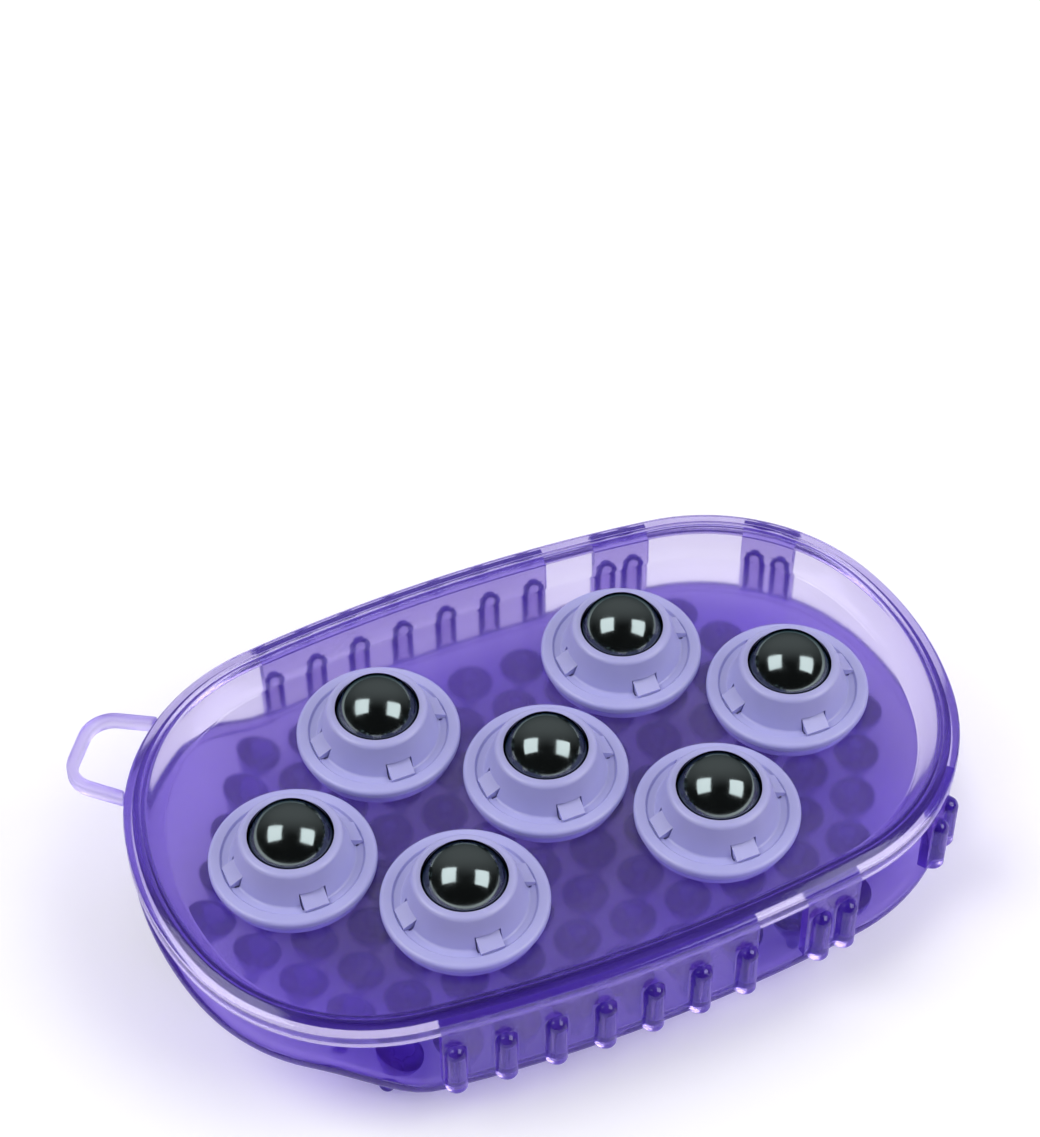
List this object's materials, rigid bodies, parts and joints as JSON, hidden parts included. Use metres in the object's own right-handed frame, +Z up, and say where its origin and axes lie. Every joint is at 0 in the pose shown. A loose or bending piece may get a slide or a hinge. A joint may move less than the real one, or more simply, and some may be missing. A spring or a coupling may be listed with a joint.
{
  "type": "massage mitt",
  "caption": "Slip-on massage mitt: rolling balls in snap-in cups on one soft plate, cone nubs on the other, ribbed side walls with finger gaps, and a hanging loop.",
  "frame": {"origin": "plan centre of the plates, level with the nub tips", "axes": "+X from the open wrist end to the finger end, +Z up through the balls"},
  "size_m": [0.1778, 0.113, 0.0423],
  "materials": {
    "violet_soft_moulding": "clear violet thermoplastic rubber, moulded, glossy",
    "lavender_housing": "lavender ABS, moulded, satin",
    "polished_ball": "black polished ball, mirror gloss"
  },
  "bodies": {
    "mitt": {"roller_plate": "violet_soft_moulding", "hanging_loop": "violet_soft_moulding", "nub_plate": "violet_soft_moulding", "back_long_wall": "violet_soft_moulding", "back_middle_wall": "violet_soft_moulding", "back_end_wall": "violet_soft_moulding", "front_long_wall": "violet_soft_moulding", "front_middle_wall": "violet_soft_moulding", "front_end_wall": "violet_soft_moulding", "centre_cup": "lavender_housing", "wrist_cup": "lavender_housing", "finger_cup": "lavender_housing", "front_wrist_cup": "lavender_housing", "back_wrist_cup": "lavender_housing", "front_finger_cup": "lavender_housing", "back_finger_cup": "lavender_housing", "centre_seat": "lavender_housing", "wrist_seat": "lavender_housing", "finger_seat": "lavender_housing", "front_wrist_seat": "lavender_housing", "back_wrist_seat": "lavender_housing", "front_finger_seat": "lavender_housing", "back_finger_seat": "lavender_housing"},
    "centre_ball": {"centre_ball": "polished_ball"},
    "wrist_ball": {"wrist_ball": "polished_ball"},
    "finger_ball": {"finger_ball": "polished_ball"},
    "front_wrist_ball": {"front_wrist_ball": "polished_ball"},
    "back_wrist_ball": {"back_wrist_ball": "polished_ball"},
    "front_finger_ball": {"front_finger_ball": "polished_ball"},
    "back_finger_ball": {"back_finger_ball": "polished_ball"}
  },
  "joints": [
    {"name": "centre_ball_roll", "type": "hinge", "parent": "mitt", "child": "centre_ball", "pos_m": [0, 0, 0.0333], "axis": [0, 1, 0], "continuous": true},
    {"name": "wrist_ball_roll", "type": "hinge", "parent": "mitt", "child": "wrist_ball", "pos_m": [-0.0554, 0, 0.0333], "axis": [0, 1, 0], "continuous": true},
    {"name": "finger_ball_roll", "type": "hinge", "parent": "mitt", "child": "finger_ball", "pos_m": [0.0554, 0, 0.0333], "axis": [0, 1, 0], "continuous": true},
    {"name": "front_wrist_ball_roll", "type": "hinge", "parent": "mitt", "child": "front_wrist_ball", "pos_m": [-0.0277, -0.0233, 0.0333], "axis": [0, 1, 0], "continuous": true},
    {"name": "back_wrist_ball_roll", "type": "hinge", "parent": "mitt", "child": "back_wrist_ball", "pos_m": [-0.0277, 0.0233, 0.0333], "axis": [0, 1, 0], "continuous": true},
    {"name": "front_finger_ball_roll", "type": "hinge", "parent": "mitt", "child": "front_finger_ball", "pos_m": [0.0277, -0.0233, 0.0333], "axis": [0, 1, 0], "continuous": true},
    {"name": "back_finger_ball_roll", "type": "hinge", "parent": "mitt", "child": "back_finger_ball", "pos_m": [0.0277, 0.0233, 0.0333], "axis": [0, 1, 0], "continuous": true}
  ]
}
